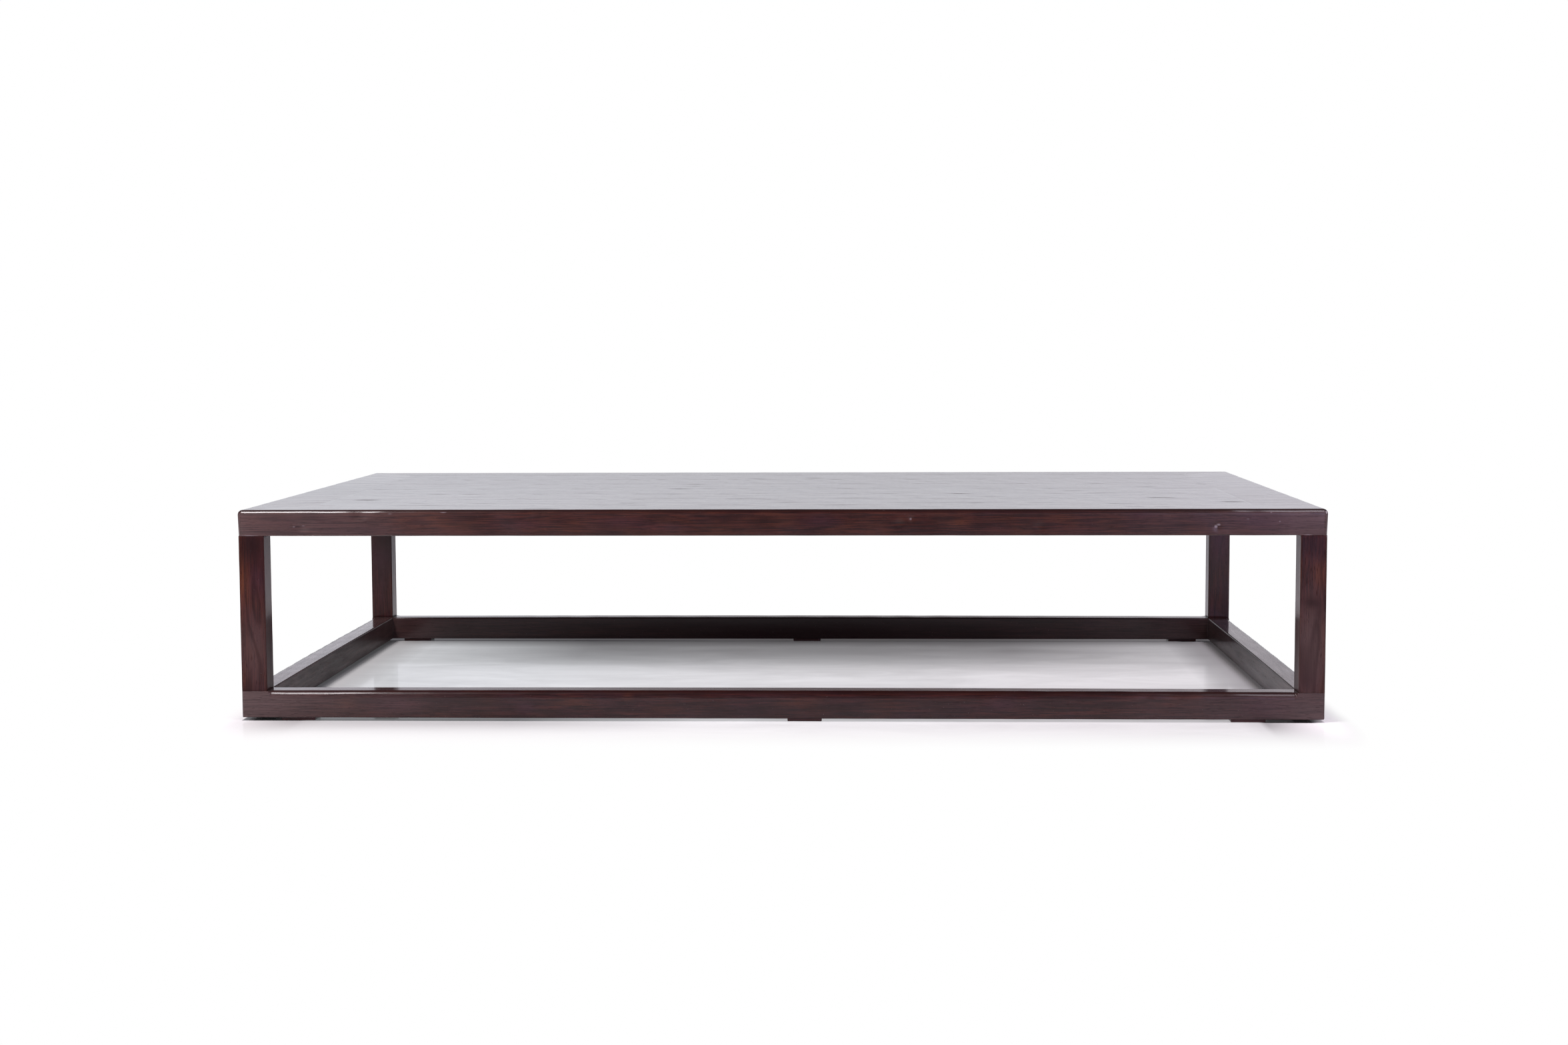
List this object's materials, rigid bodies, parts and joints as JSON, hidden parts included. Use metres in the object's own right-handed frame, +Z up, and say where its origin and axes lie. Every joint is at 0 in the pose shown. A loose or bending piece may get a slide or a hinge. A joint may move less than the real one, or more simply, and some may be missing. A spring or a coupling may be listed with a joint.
{
  "type": "kang table",
  "caption": "Low rectangular hardwood table with a flush framed top, square corner legs and an open base frame on thin floor pads.",
  "frame": {"origin": "on the floor, under the middle of the table", "axes": "+X along the length, to the right seen from the front; +Y to the back; +Z up"},
  "size_m": [1.834, 1.05, 0.36],
  "materials": {
    "top_wood": "dark red-brown stain under a hand-rubbed semi-gloss lacquer",
    "frame_wood": "dark red-brown stain under a semi-gloss lacquer, warmer where it is worn",
    "batten_wood": "thin stain, unpolished",
    "pad_wood": "near-black stain, matt",
    "peg_wood": "oiled end grain",
    "nail_steel": "dull"
  },
  "bodies": {
    "root": {"top_front_rail": "top_wood", "base_front_rail": "frame_wood", "top_back_rail": "top_wood", "base_back_rail": "frame_wood", "top_left_rail": "top_wood", "base_left_rail": "frame_wood", "top_right_rail": "top_wood", "base_right_rail": "frame_wood", "top_board_1": "top_wood", "top_board_2": "top_wood", "top_board_3": "top_wood", "top_board_4": "top_wood", "top_board_5": "top_wood", "top_board_6": "top_wood", "top_batten_left": "batten_wood", "top_batten_middle": "batten_wood", "top_batten_right": "batten_wood", "leg_front_left": "frame_wood", "leg_front_right": "frame_wood", "leg_back_left": "frame_wood", "leg_back_right": "frame_wood", "floor_pad_front_left": "pad_wood", "floor_pad_front_middle": "pad_wood", "floor_pad_front_right": "pad_wood", "floor_pad_back_left": "pad_wood", "floor_pad_back_middle": "pad_wood", "floor_pad_back_right": "pad_wood", "floor_pad_nails": "nail_steel", "top_corner_pegs": "peg_wood", "base_corner_pegs": "peg_wood"}
  },
  "joints": []
}
